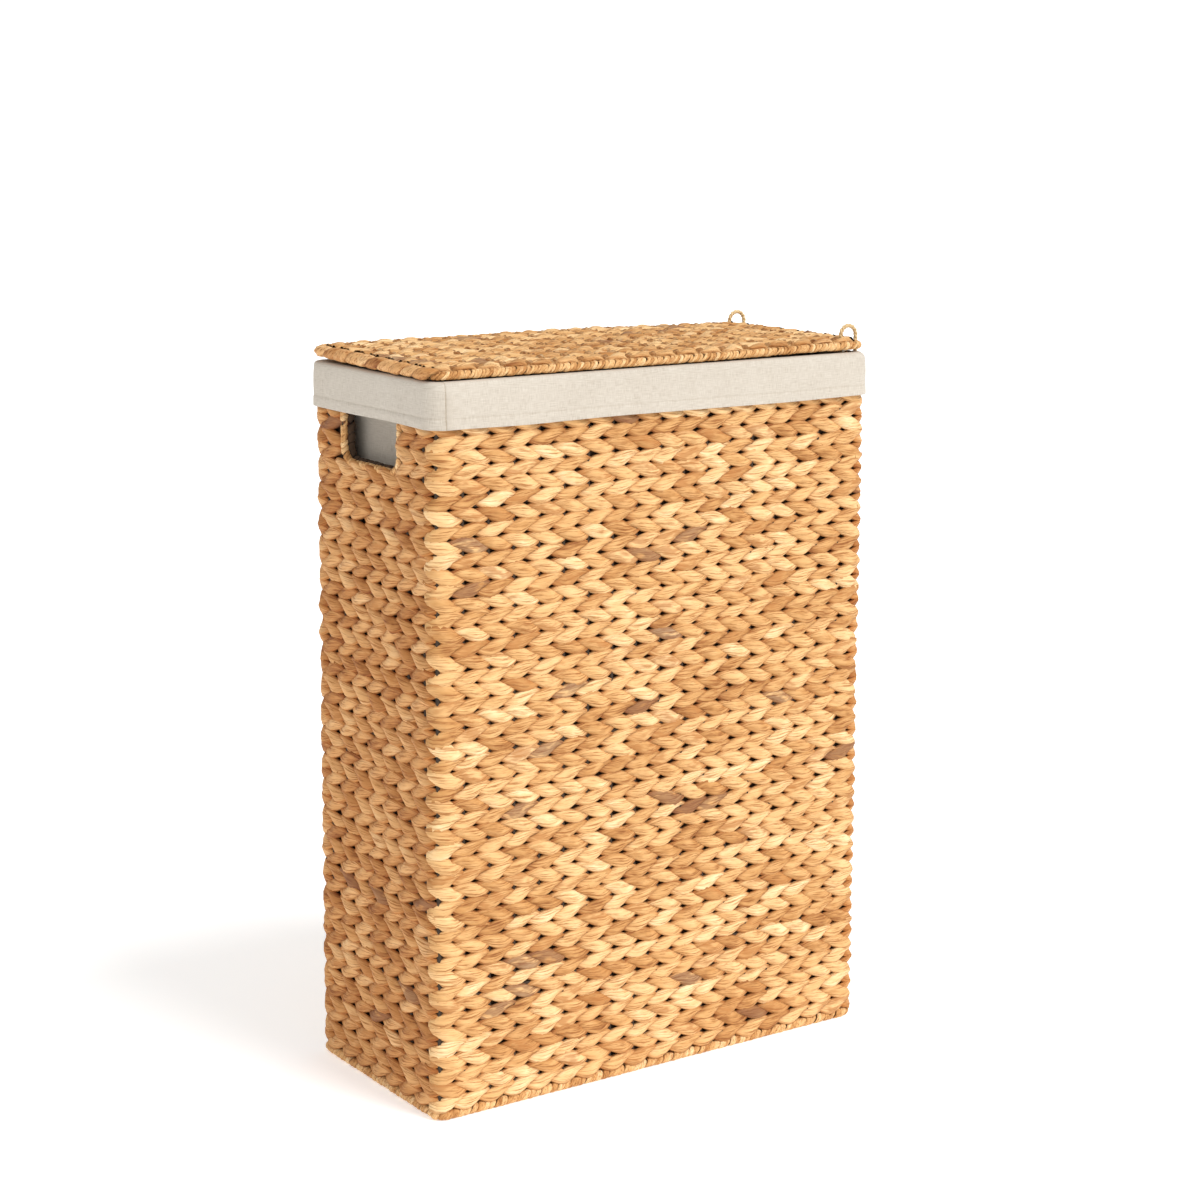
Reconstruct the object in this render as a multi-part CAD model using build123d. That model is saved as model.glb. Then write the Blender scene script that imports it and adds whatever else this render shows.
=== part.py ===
"""Slim rectangular laundry basket: twined wall panels over a steel wire frame, a woven lid hung on
two cord rings, and a removable cotton liner whose cuff folds over the rim.

Millimetres, +Z up. The origin is the centre of the underside. X is the long side, the lid hinges at +X.
"""
import os
from math import cos, radians

from build123d import *

os.makedirs("parts", exist_ok=True)

# Footprint and heights
LENGTH = 440.0          # outside of the weave along X
DEPTH = 200.0           # outside of the weave along Y
WALL = 12.0             # thickness of the twined wall
CORNER_R = 14.0         # outside corner of the wall
WALL_Z0 = 8.3           # lowest row starts on the base binding
WALL_Z1 = 585.7         # highest row ends under the rim binding
GAP = 0.2               # assembly gap between pieces of the fixed part

# Steel wire frame
WIRE_X = LENGTH / 2 - WALL / 2      # wire centrelines run in the middle of the wall
WIRE_Y = DEPTH / 2 - WALL / 2
WIRE_CORNER_R = 8.0
RIM_Z = 592.0
RIM_WIRE_R = 2.5
RIM_WRAP_R = 6.0
BASE_WIRE_Z = 4.0
BASE_WIRE_R = 2.0
BASE_WRAP = 8.0         # square wrap round the base wire, flat underneath
POST_R = 2.0
STAKE_R = 1.5
CROSS_R = 1.25
CLEAR = 0.25            # channel clearance round a stake
STAKE_PITCH = 23.8      # long sides
SIDE_PITCH = 25.5       # short sides

# Hand openings in the short sides
HANDLE_Y = 6.0
HANDLE_W = 82.0
HANDLE_Z0 = 524.5
HANDLE_Z1 = 572.0
HANDLE_R = 10.0
HANDLE_WRAP_R = 4.5
HANDLE_WIRE_R = 1.5

# Liner
CLOTH = 1.2
LINER_X = 199.0         # hanging part of the bag
LINER_Y = 79.0
LINER_Z0 = 12.0
CUFF_Z0 = 562.0
CUFF_OUT = 1.5          # outside of the cuff beyond the weave
FOLD_R = 6.0            # the cloth rounds over the wrapped rim
CUFF_TOP = RIM_Z + RIM_WRAP_R + 0.3 + CLOTH

# Lid
LID_Z = 606.0           # lid edge wire
LID_WIRE_R = 2.2
LID_WRAP_R = 5.0
LID_HALF = 4.5          # half thickness of the woven plate

# Hinge rings
RING_Y = 79.0
RING_R = 8.3            # centreline radius of the two ends
RING_CORD_R = 1.7
RING_TOP_RISE = 3.2     # the upper end stands this far above the lid wire
NOTCH_W = 6.0
RIM_NOTCH_R = 16.0
LID_NOTCH_R = 15.0


def save(shape, name):
    export_step(shape, f"parts/{name}.step")


def span(x0, x1, y0, y1, z0, z1):
    """Box between two corners."""
    return Pos((x0 + x1) / 2, (y0 + y1) / 2, (z0 + z1) / 2) * Box(x1 - x0, y1 - y0, z1 - z0)


def rod(p, q, r):
    """Straight round rod from p to q."""
    d = Vector(*q) - Vector(*p)
    plane = Plane(origin=p, z_dir=d)
    return extrude(plane * Circle(r), d.length)


def block(length, depth, corner, z0, z1):
    """Upright block with rounded corners."""
    return extrude(Pos(0, 0, z0) * RectangleRounded(length, depth, corner), z1 - z0)


def loop_path(half_x, half_y, corner, plane):
    """Closed rounded rectangle as a wire in the given plane."""
    return (plane * RectangleRounded(2 * half_x, 2 * half_y, corner)).face().outer_wire()


def tube_round(path, at, direction, outer, inner=0.0):
    """Round section swept along a closed path that passes through 'at' heading 'direction'."""
    section = Plane(origin=at, z_dir=direction) * Circle(outer)
    solid = sweep(section, path)
    if inner:
        solid -= sweep(Plane(origin=at, z_dir=direction) * Circle(inner), path)
    return solid


def rim_notches():
    """Room for the two rings to swing about the rim wire."""
    cuts = []
    for y in (-RING_Y, RING_Y):
        cuts.append(rod((WIRE_X, y - NOTCH_W / 2, RIM_Z), (WIRE_X, y + NOTCH_W / 2, RIM_Z), RIM_NOTCH_R))
    return cuts


def lid_notches():
    """Room for the lid to swing about its own wire inside the rings."""
    cuts = []
    for y in (-RING_Y, RING_Y):
        cuts.append(rod((WIRE_X, y - NOTCH_W / 2, LID_Z), (WIRE_X, y + NOTCH_W / 2, LID_Z), LID_NOTCH_R))
    return cuts


def cut(shape, tools):
    for tool in tools:
        shape = shape - tool
    return shape


def level(z):
    return Plane(origin=(0, 0, z))


# ---------------------------------------------------------------- steel wire frame

POST_X = WIRE_X - WIRE_CORNER_R + WIRE_CORNER_R * cos(radians(45))
POST_Y = WIRE_Y - WIRE_CORNER_R + WIRE_CORNER_R * cos(radians(45))
POST_Z0 = BASE_WIRE_Z + BASE_WIRE_R + 0.05
POST_Z1 = RIM_Z - RIM_WIRE_R - 0.05
CORNERS = {"front_left": (-1, -1), "front_right": (1, -1), "back_left": (-1, 1), "back_right": (1, 1)}


def wire_ring(z, r):
    path = loop_path(WIRE_X, WIRE_Y, WIRE_CORNER_R, level(z))
    return tube_round(path, (0, -WIRE_Y, z), (1, 0, 0), r)


def post_holes():
    """Channels that let the corner uprights pass through walls and bindings."""
    return [
        rod((sx * POST_X, sy * POST_Y, 2.0), (sx * POST_X, sy * POST_Y, RIM_Z), POST_R + CLEAR)
        for sx, sy in CORNERS.values()
    ]


def build_frame():
    save(wire_ring(BASE_WIRE_Z, BASE_WIRE_R), "frame_base_ring")
    save(wire_ring(RIM_Z, RIM_WIRE_R), "frame_rim_ring")
    for name, (sx, sy) in CORNERS.items():
        post = rod((sx * POST_X, sy * POST_Y, POST_Z0), (sx * POST_X, sy * POST_Y, POST_Z1), POST_R)
        save(post, f"frame_post_{name}")


# ---------------------------------------------------------------- stakes

FRONT_X = [STAKE_PITCH * (i - 8) for i in range(17)]
SIDE_Y = [SIDE_PITCH * (i - 3) for i in range(7)]
FRONT_CROSS_Z = [100.0, 300.0, 500.0]
SIDE_CROSS_Z = [100.0, 300.0, 495.0]
STAKE_Z0 = WALL_Z0 + 0.5
STAKE_Z1 = WALL_Z1 - 0.5


def long_grid(sy, extra, z0, z1):
    """Stakes of a long side, welded to three cross wires. 'extra' thickens them into a channel."""
    y = sy * WIRE_Y
    rods = [rod((x, y, z0), (x, y, z1), STAKE_R + extra) for x in FRONT_X]
    end = FRONT_X[-1] + extra
    rods += [rod((-end, y, z), (end, y, z), CROSS_R + extra) for z in FRONT_CROSS_Z]
    return rods


def short_grid(sx, extra, z0, z1):
    """Stakes of a short side. Those under the hand opening or beside a hinge ring stop below it."""
    x = sx * WIRE_X
    rods = []
    for y in SIDE_Y:
        under = abs(y - HANDLE_Y) < HANDLE_W / 2 + 12
        top = HANDLE_Z0 - 2 * HANDLE_WRAP_R - 3 if under else z1
        if abs(abs(y) - RING_Y) < NOTCH_W:
            top = min(top, RIM_Z - RIM_NOTCH_R - 2)
        rods.append(rod((x, y, z0), (x, y, top), STAKE_R + extra))
    end = SIDE_Y[-1] + extra
    rods += [rod((x, -end, z), (x, end, z), CROSS_R + extra) for z in SIDE_CROSS_Z]
    return rods


def fuse_all(rods):
    shape = rods[0]
    for other in rods[1:]:
        shape = shape + other
    return shape


def build_stakes():
    for name, sy in (("front", -1), ("back", 1)):
        save(fuse_all(long_grid(sy, 0.0, STAKE_Z0, STAKE_Z1)), f"stakes_{name}")
    for name, sx in (("left", -1), ("right", 1)):
        save(fuse_all(short_grid(sx, 0.0, STAKE_Z0, STAKE_Z1)), f"stakes_{name}")


# ---------------------------------------------------------------- woven walls and base


def wall_ring():
    inner = block(LENGTH - 2 * WALL, DEPTH - 2 * WALL, 2.0, WALL_Z0 - 1, WALL_Z1 + 1)
    return block(LENGTH, DEPTH, CORNER_R, WALL_Z0, WALL_Z1) - inner


def handle_window(sx, grow):
    """Block through a short wall, as wide as the hand opening plus 'grow' all round."""
    plane = Plane(origin=(sx * WIRE_X, HANDLE_Y, (HANDLE_Z0 + HANDLE_Z1) / 2), x_dir=(0, 1, 0), z_dir=(1, 0, 0))
    face = plane * RectangleRounded(
        HANDLE_W + 2 * grow, HANDLE_Z1 - HANDLE_Z0 + 2 * grow, HANDLE_R + grow
    )
    return extrude(face, 20, both=True)


def build_walls():
    ring = wall_ring()
    edge = DEPTH / 2 - WALL
    far = 400.0
    for name, sy in (("front", -1), ("back", 1)):
        y0, y1 = sorted((sy * (edge + GAP / 2), sy * far))
        panel = ring & span(-far, far, y0, y1, 0, 700)
        panel = cut(panel, post_holes())
        panel = cut(panel, long_grid(sy, CLEAR, 0, 600))
        save(panel, f"weave_{name}")
    for name, sx in (("left", -1), ("right", 1)):
        x0, x1 = sorted((sx * 100, sx * far))
        panel = ring & span(x0, x1, -edge + GAP / 2, edge - GAP / 2, 0, 700)
        panel = panel - handle_window(sx, 2 * HANDLE_WRAP_R + GAP)
        panel = cut(panel, short_grid(sx, CLEAR, 0, 600))
        if sx > 0:
            panel = cut(panel, rim_notches())
        save(panel, f"weave_{name}")


BASE_X = LENGTH / 2 - WALL - 1.0
BASE_Y = DEPTH / 2 - WALL - 1.0
BASE_Z0 = 0.0
BASE_Z1 = 9.0
BASE_RODS_X = [-168.0 + 48.0 * i for i in range(8)]


def base_grid(extra):
    z = (BASE_Z0 + BASE_Z1) / 2
    end = BASE_Y - 2 + 5 * extra
    rods = [rod((x, -end, z), (x, end, z), STAKE_R + extra) for x in BASE_RODS_X]
    reach = BASE_X + 1 if extra else BASE_RODS_X[-1] + 10
    rods.append(rod((-reach, 0, z), (reach, 0, z), CROSS_R + extra))
    return rods


def build_base():
    save(fuse_all(base_grid(0.0)), "base_rods")
    panel = block(2 * BASE_X, 2 * BASE_Y, 3.0, BASE_Z0, BASE_Z1)
    save(cut(panel, base_grid(CLEAR)), "weave_base")


# ---------------------------------------------------------------- bindings


def split_ring(ring, edge, prefix, cuts=(), right_edge=None):
    """Cuts a ring into a front and a back piece with the corners, and straight left and right pieces."""
    far = 400.0
    right_edge = right_edge or edge - GAP
    ring = cut(ring, cuts)
    for name, sy in (("front", -1), ("back", 1)):
        y0, y1 = sorted((sy * edge, sy * far))
        save(ring & span(-far, far, y0, y1, -50, 700), f"{prefix}_{name}")
    save(ring & span(-far, -100, -edge + GAP, edge - GAP, -50, 700), f"{prefix}_left")
    save(ring & span(100, far, -right_edge, right_edge, -50, 700), f"{prefix}_right")


def build_bindings():
    path = loop_path(WIRE_X, WIRE_Y, WIRE_CORNER_R, level(BASE_WIRE_Z))
    at = Plane(origin=(0, -WIRE_Y, BASE_WIRE_Z), x_dir=(0, 1, 0), z_dir=(1, 0, 0))
    ring = sweep(at * RectangleRounded(BASE_WRAP, BASE_WRAP, 2.0), path)
    ring = ring - wire_ring(BASE_WIRE_Z, BASE_WIRE_R + 0.05)
    split_ring(ring, DEPTH / 2 - WALL - 3, "base_binding", post_holes())

    path = loop_path(WIRE_X, WIRE_Y, WIRE_CORNER_R - 0.5, level(RIM_Z))
    ring = sweep(Plane(origin=(0, -WIRE_Y, RIM_Z), z_dir=(1, 0, 0)) * Circle(RIM_WRAP_R), path)
    ring = ring - wire_ring(RIM_Z, RIM_WIRE_R + 0.6)
    inboard = RING_Y - NOTCH_W / 2
    split_ring(ring, RING_Y, "rim_binding", post_holes() + rim_notches(), inboard)


def handle_loop(sx, r):
    plane = Plane(origin=(sx * WIRE_X, HANDLE_Y, (HANDLE_Z0 + HANDLE_Z1) / 2), x_dir=(0, 1, 0), z_dir=(1, 0, 0))
    half_w = HANDLE_W / 2 + HANDLE_WRAP_R
    half_h = (HANDLE_Z1 - HANDLE_Z0) / 2 + HANDLE_WRAP_R
    path = loop_path(half_w, half_h, HANDLE_R + HANDLE_WRAP_R, plane)
    low = (sx * WIRE_X, HANDLE_Y, HANDLE_Z0 - HANDLE_WRAP_R)
    return sweep(Plane(origin=low, z_dir=(0, 1, 0)) * Circle(r), path)


def build_handles():
    for name, sx in (("left", -1), ("right", 1)):
        save(handle_loop(sx, HANDLE_WIRE_R), f"handle_frame_{name}")
        save(handle_loop(sx, HANDLE_WRAP_R) - handle_loop(sx, HANDLE_WIRE_R + 0.05), f"handle_binding_{name}")


# ---------------------------------------------------------------- liner


def liner_profile(hang, flare):
    """Section of a bag side: straight drop, then a lean out to the rim. First value is the distance out."""
    top = RIM_Z + RIM_WRAP_R
    line = [(hang, LINER_Z0), (hang, 555.0), (flare, 584.0), (flare, top)]
    back = [(u - CLOTH, z) for u, z in reversed(line)]
    return line + back


def build_liner():
    flare_x = LENGTH / 2 - WALL - 0.9
    flare_y = DEPTH / 2 - WALL - 0.9
    for name, sy in (("front", -1), ("back", 1)):
        points = [(0, sy * u, z) for u, z in liner_profile(LINER_Y, flare_y)]
        face = make_face(Polyline(*points, close=True))
        side = extrude(face, LINER_X - CLOTH - 0.3, dir=(1, 0, 0), both=True)
        save(side, f"liner_panel_{name}")
    for name, sx in (("left", -1), ("right", 1)):
        points = [(sx * u, 0, z) for u, z in liner_profile(LINER_X, flare_x)]
        face = make_face(Polyline(*points, close=True))
        side = extrude(face, LINER_Y, dir=(0, 1, 0), both=True)
        side = side - span(-400, 400, LINER_Y - 0.1, 200, 0, 560) - span(-400, 400, -200, -LINER_Y + 0.1, 0, 560)
        if sx > 0:
            side = cut(side, rim_notches())
        save(side, f"liner_panel_{name}")
    floor = block(2 * (LINER_X - CLOTH) - 1, 2 * (LINER_Y - CLOTH) - 1, 6.0, LINER_Z0, LINER_Z0 + CLOTH)
    save(floor, "liner_floor")

    out_l = LENGTH + 2 * CUFF_OUT
    out_d = DEPTH + 2 * CUFF_OUT
    cuff = block(out_l, out_d, CORNER_R + CUFF_OUT, CUFF_Z0, CUFF_TOP)
    cuff = fillet(cuff.edges().group_by(Axis.Z)[-1], FOLD_R)
    under = block(out_l - 2 * CLOTH, out_d - 2 * CLOTH, CORNER_R + CUFF_OUT - CLOTH, CUFF_Z0 - 1, CUFF_TOP - CLOTH)
    cuff = cuff - fillet(under.edges().group_by(Axis.Z)[-1], FOLD_R - CLOTH)
    cuff = cuff - block(2 * flare_x - 3, 2 * flare_y - 3, 3.0, CUFF_Z0, CUFF_TOP + 1)
    split_ring(cuff, flare_y - 2, "liner_cuff", rim_notches())


# ---------------------------------------------------------------- lid


def lid_grid(extra):
    end = WIRE_Y - LID_WRAP_R - 3 + 5 * extra
    rods = [rod((x, -end, LID_Z), (x, end, LID_Z), STAKE_R + extra) for x in FRONT_X]
    reach = FRONT_X[-1] + (9 if extra else 0)
    rods.append(rod((-reach, 0, LID_Z), (reach, 0, LID_Z), CROSS_R + extra))
    return rods


def build_lid():
    save(wire_ring(LID_Z, LID_WIRE_R), "lid_ring")
    save(fuse_all(lid_grid(0.0)), "lid_rods")
    plate = block(
        2 * (WIRE_X - LID_WRAP_R - GAP), 2 * (WIRE_Y - LID_WRAP_R - GAP), 3.0, LID_Z - LID_HALF, LID_Z + LID_HALF
    )
    plate = cut(plate, lid_grid(CLEAR))
    save(cut(plate, lid_notches()), "lid_weave")
    path = loop_path(WIRE_X, WIRE_Y, WIRE_CORNER_R, level(LID_Z))
    ring = sweep(Plane(origin=(0, -WIRE_Y, LID_Z), z_dir=(1, 0, 0)) * Circle(LID_WRAP_R), path)
    ring = ring - wire_ring(LID_Z, LID_WIRE_R + 0.05)
    split_ring(ring, RING_Y, "lid_binding", lid_notches(), RING_Y - NOTCH_W / 2)


# ---------------------------------------------------------------- hinge rings


def build_rings():
    top = LID_Z + RING_TOP_RISE
    for name, y in (("front", -RING_Y), ("back", RING_Y)):
        plane = Plane(origin=(WIRE_X, y, (RIM_Z + top) / 2), x_dir=(1, 0, 0), z_dir=(0, -1, 0))
        path = (plane * SlotCenterToCenter(top - RIM_Z, 2 * RING_R, rotation=90)).face().outer_wire()
        at = Plane(origin=(WIRE_X + RING_R, y, (RIM_Z + top) / 2), z_dir=(0, 0, 1))
        save(sweep(at * Circle(RING_CORD_R), path), f"hinge_ring_{name}")


build_frame()
build_stakes()
build_walls()
build_base()
build_bindings()
build_handles()
build_liner()
build_lid()
build_rings()
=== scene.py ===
import math

import bmesh
import bpy
import numpy as np
from mathutils import Matrix, Vector, noise


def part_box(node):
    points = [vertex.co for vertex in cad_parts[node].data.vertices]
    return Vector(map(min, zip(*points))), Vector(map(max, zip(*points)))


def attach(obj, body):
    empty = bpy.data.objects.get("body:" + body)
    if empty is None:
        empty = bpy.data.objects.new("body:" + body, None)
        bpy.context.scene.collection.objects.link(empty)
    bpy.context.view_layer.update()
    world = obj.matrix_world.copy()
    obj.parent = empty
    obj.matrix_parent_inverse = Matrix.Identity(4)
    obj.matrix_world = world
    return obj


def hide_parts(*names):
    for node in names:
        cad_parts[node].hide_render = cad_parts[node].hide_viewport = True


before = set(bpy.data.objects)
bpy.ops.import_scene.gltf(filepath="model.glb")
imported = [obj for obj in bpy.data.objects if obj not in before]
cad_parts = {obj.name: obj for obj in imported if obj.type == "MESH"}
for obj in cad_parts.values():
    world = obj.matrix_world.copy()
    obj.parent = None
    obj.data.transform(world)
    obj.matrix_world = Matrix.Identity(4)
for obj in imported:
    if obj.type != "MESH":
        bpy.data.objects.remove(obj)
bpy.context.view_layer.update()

MM = 0.001

# ------------------------------------------------------------------ camera
# One long lens at standing height, to the left of the long front side and a little above the lid.
# The small vertical shift keeps the uprights nearly parallel, as in a catalogue picture.

SENSOR = 36.0
FOCAL_SHARE = 2535 / 1200            # focal length as a share of the picture's width
CAMERA_PLACE = (-1.2106, -1.7599, 0.8276)
CAMERA_TURN = (34.64, -8.915, 0.27)  # yaw, pitch and roll in degrees
camera_data = bpy.data.cameras.new("camera")
camera_data.sensor_width = SENSOR
camera_data.lens = FOCAL_SHARE * SENSOR
camera_data.shift_y = -0.1
camera_data.dof.use_dof = False
camera_data.clip_start = 0.05
camera_data.clip_end = 100
camera = bpy.data.objects.new("camera", camera_data)
bpy.context.scene.collection.objects.link(camera)
yaw, pitch, roll = (math.radians(a) for a in CAMERA_TURN)
ahead = Vector((math.sin(yaw) * math.cos(pitch), math.cos(yaw) * math.cos(pitch), math.sin(pitch)))
level_right = Vector((math.cos(yaw), -math.sin(yaw), 0))
level_up = level_right.cross(ahead)
right = math.cos(roll) * level_right + math.sin(roll) * level_up
up = math.cos(roll) * level_up - math.sin(roll) * level_right
facing = Matrix((right, up, -ahead)).transposed().to_4x4()
camera.matrix_world = Matrix.Translation(CAMERA_PLACE) @ facing
bpy.context.scene.camera = camera

# ------------------------------------------------------------------ node writing
# The strands, cloth and wire are all described by node trees. A Thread is one socket of a tree: sums
# written on it add Math nodes, and the Loom adds any other node from its type, settings and sockets.


class Thread:
    """One output socket of a node tree."""

    def __init__(self, loom, socket):
        self.loom = loom
        self.socket = socket

    def maths(self, operation, *values):
        return self.loom.add("ShaderNodeMath", {"operation": operation}, dict(enumerate(values)))

    def __add__(self, other):
        return self.maths("ADD", self, other)

    def __radd__(self, other):
        return self.maths("ADD", other, self)

    def __sub__(self, other):
        return self.maths("SUBTRACT", self, other)

    def __rsub__(self, other):
        return self.maths("SUBTRACT", other, self)

    def __mul__(self, other):
        return self.maths("MULTIPLY", self, other)

    def __rmul__(self, other):
        return self.maths("MULTIPLY", other, self)

    def __truediv__(self, other):
        return self.maths("DIVIDE", self, other)

    def __pow__(self, other):
        return self.maths("POWER", self, other)

    def __neg__(self):
        return self.maths("MULTIPLY", self, -1.0)

    def __gt__(self, other):
        return self.maths("GREATER_THAN", self, other)

    def __lt__(self, other):
        return self.maths("LESS_THAN", self, other)

    def sin(self):
        return self.maths("SINE", self)

    def cos(self):
        return self.maths("COSINE", self)

    def abs(self):
        return self.maths("ABSOLUTE", self)

    def floor(self):
        return self.maths("FLOOR", self)

    def wrap(self, low, high):
        return self.maths("WRAP", self, high, low)

    def clamp(self, low=0.0, high=1.0):
        return self.maths("MAXIMUM", self.maths("MINIMUM", self, high), low)

    def soft(self, low, high):
        """0 below low, 1 above high, smooth between."""
        return self.loom.add(
            "ShaderNodeMapRange",
            {"interpolation_type": "SMOOTHSTEP"},
            {"Value": self, "From Min": low, "From Max": high},
        )


class Loom:
    """Adds nodes to one node tree."""

    def __init__(self, tree):
        self.tree = tree

    def add(self, kind, settings=None, values=None, out=0):
        node = self.tree.nodes.new(kind)
        for name, value in (settings or {}).items():
            if name == "stops":
                ramp = node.color_ramp
                while len(ramp.elements) < len(value):
                    ramp.elements.new(1.0)
                for element, (place, colour) in zip(ramp.elements, value):
                    element.position = place
                    element.color = (*colour, 1.0)
            else:
                setattr(node, name, value)
        for name, value in (values or {}).items():
            self.plug(node, name, value)
        if isinstance(out, str):
            socket = [s for s in node.outputs if s.name == out and s.enabled][0]
        else:
            socket = [s for s in node.outputs if s.enabled][out]
        return Thread(self, socket)

    def plug(self, node, name, value):
        if isinstance(name, str):
            socket = [s for s in node.inputs if s.name == name and s.enabled][0]
        else:
            socket = node.inputs[name]
        if isinstance(value, Thread):
            self.tree.links.new(value.socket, socket)
        else:
            socket.default_value = value

    def vector(self, x, y, z):
        return self.add("ShaderNodeCombineXYZ", None, {0: x, 1: y, 2: z})

    def noise(self, vector, scale, detail, settings=None, **more):
        values = {"Vector": vector, "Scale": scale, "Detail": detail, **more}
        return self.add("ShaderNodeTexNoise", settings, values, "Fac")

    def attribute(self, name, out):
        return self.add("ShaderNodeAttribute", {"attribute_name": name}, None, out)

    def mix(self, factor, a, b, blend="MIX"):
        settings = {"data_type": "RGBA", "blend_type": blend}
        return self.add("ShaderNodeMix", settings, {"Factor": factor, "A": a, "B": (*b, 1)}, "Result")

    def bump(self, strength, distance, height):
        values = {"Strength": strength, "Distance": distance, "Height": height}
        return self.add("ShaderNodeBump", None, values)

    def parts(self, vector):
        node = self.tree.nodes.new("ShaderNodeSeparateXYZ")
        self.plug(node, 0, vector)
        return [Thread(self, s) for s in node.outputs]

    def arrow(self, operation, a, b=None, scale=None):
        values = {0: a}
        if b is not None:
            values[1] = b
        if scale is not None:
            values["Scale"] = scale
        return self.add("ShaderNodeVectorMath", {"operation": operation}, values)


class GeometryLoom(Loom):
    """A Geometry Nodes tree with named inputs."""

    def __init__(self, name, inputs):
        tree = bpy.data.node_groups.new(name, "GeometryNodeTree")
        super().__init__(tree)
        tree.is_modifier = True
        for label, kind, value in inputs:
            socket = tree.interface.new_socket(label, in_out="INPUT", socket_type=kind)
            if value is not None:
                socket.default_value = value
        tree.interface.new_socket("Geometry", in_out="OUTPUT", socket_type="NodeSocketGeometry")
        self.source = tree.nodes.new("NodeGroupInput")
        self.exit = tree.nodes.new("NodeGroupOutput")

    def given(self, label):
        return Thread(self, self.source.outputs[label])

    def random(self, low, high, seed):
        return self.add(
            "FunctionNodeRandomValue", {"data_type": "FLOAT"}, {"Min": low, "Max": high, "Seed": seed}
        )

    def keep(self, geometry, name, value, kind="FLOAT"):
        return self.add(
            "GeometryNodeStoreNamedAttribute",
            {"data_type": kind, "domain": "POINT"},
            {"Geometry": geometry, "Name": name, "Value": value},
        )

    def named(self, name, kind="FLOAT"):
        return self.add("GeometryNodeInputNamedAttribute", {"data_type": kind}, {"Name": name})

    def forget(self, geometry, *names):
        for name in names:
            geometry = self.add("GeometryNodeRemoveAttribute", None, {"Geometry": geometry, "Name": name})
        return geometry

    def along(self, path, travel):
        """Place and direction at a distance along a curve."""
        values = {"Curves": path, "Length": travel}
        place = self.add("GeometryNodeSampleCurve", {"mode": "LENGTH"}, values, "Position")
        return place, Thread(self, place.socket.node.outputs["Tangent"])

    def finish(self, geometry):
        self.tree.links.new(geometry.socket, self.exit.inputs[0])
        return self.tree


def grow(tree, name, settings, body, replaces=()):
    """Runs a Geometry Nodes tree once and keeps its result as one plain mesh piece."""
    blank = bpy.data.objects.new("blank", bpy.data.meshes.new("blank"))
    bpy.context.scene.collection.objects.link(blank)
    modifier = blank.modifiers.new("grow", "NODES")
    modifier.node_group = tree
    for item in tree.interface.items_tree:
        if item.in_out == "INPUT" and item.name in settings:
            modifier[item.identifier] = settings[item.name]
    depsgraph = bpy.context.evaluated_depsgraph_get()
    depsgraph.update()
    mesh = bpy.data.meshes.new_from_object(
        blank.evaluated_get(depsgraph), preserve_all_data_layers=True, depsgraph=depsgraph
    )
    bpy.data.objects.remove(blank)
    return piece(name, mesh, body, replaces)


def piece(name, mesh, body, replaces=()):
    mesh.name = name
    if body == "lid":
        # the woven plate lies a little crooked, up at the back, but true at the hinge end
        places = np.empty(len(mesh.vertices) * 3)
        mesh.vertices.foreach_get("co", places)
        places = places.reshape(-1, 3)
        free = np.clip((0.155 - places[:, 0]) / 0.1, 0.0, 1.0)
        places[:, 2] += free * (0.0006 + 0.0017 * places[:, 1] / 0.094)
        mesh.vertices.foreach_set("co", places.ravel())
        mesh.update()
    obj = bpy.data.objects.new(name, mesh)
    bpy.context.scene.collection.objects.link(obj)
    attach(obj, body)
    if replaces:
        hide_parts(*replaces)
    return obj


helpers = []                         # curves and master strands, taken away at the end


def helper(name, data):
    """An object that only the node trees use."""
    obj = bpy.data.objects.new(name, data)
    bpy.context.scene.collection.objects.link(obj)
    helpers.append(obj)
    return obj


def line_path(name, points, closed=True):
    """A curve of straight pieces through points."""
    curve = bpy.data.curves.new(name, "CURVE")
    curve.dimensions = "3D"
    spline = curve.splines.new("POLY")
    spline.points.add(len(points) - 1)
    for point, place in zip(spline.points, points):
        point.co = (*place, 1.0)
    spline.use_cyclic_u = closed
    return helper(name, curve)


def new_material(name):
    material = bpy.data.materials.new(name)
    material.use_nodes = True
    material.node_tree.nodes.clear()
    loom = Loom(material.node_tree)
    shader = loom.add("ShaderNodeBsdfPrincipled")
    output = material.node_tree.nodes.new("ShaderNodeOutputMaterial")
    loom.plug(output, "Surface", shader)
    return material, loom, shader.socket.node


# ------------------------------------------------------------------ studio
# A white seamless floor under soft, even light, with the main light from the front right.

floor_material, loom, shader = new_material("studio_floor")
dust = loom.add("ShaderNodeTexNoise", None, {"Scale": 3.0, "Detail": 2.0}, "Fac")
loom.plug(shader, "Base Color", loom.mix(dust, (0.93, 0.93, 0.93, 1), (0.96, 0.96, 0.955)))
shader.inputs["Roughness"].default_value = 0.9
shader.inputs["Specular IOR Level"].default_value = 0.1
shader.inputs["Emission Color"].default_value = (1, 1, 0.99, 1)
shader.inputs["Emission Strength"].default_value = 0.36
floor_mesh = bpy.data.meshes.new("studio_floor")
floor_mesh.from_pydata([(-30, -30, 0), (30, -30, 0), (30, 30, 0), (-30, 30, 0)], [], [(0, 1, 2, 3)])
floor_mesh.materials.append(floor_material)
studio_floor = bpy.data.objects.new("studio_floor", floor_mesh)
bpy.context.scene.collection.objects.link(studio_floor)

world = bpy.data.worlds.new("studio")
bpy.context.scene.world = world
world.use_nodes = True
world.node_tree.nodes.clear()
loom = Loom(world.node_tree)
seen = loom.add("ShaderNodeLightPath", None, None, "Is Camera Ray")
backdrop = loom.add("ShaderNodeBackground", None, {"Color": (1, 1, 1, 1), "Strength": 0.52 + 0.60 * seen})
world_output = world.node_tree.nodes.new("ShaderNodeOutputWorld")
loom.plug(world_output, "Surface", backdrop)


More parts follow.
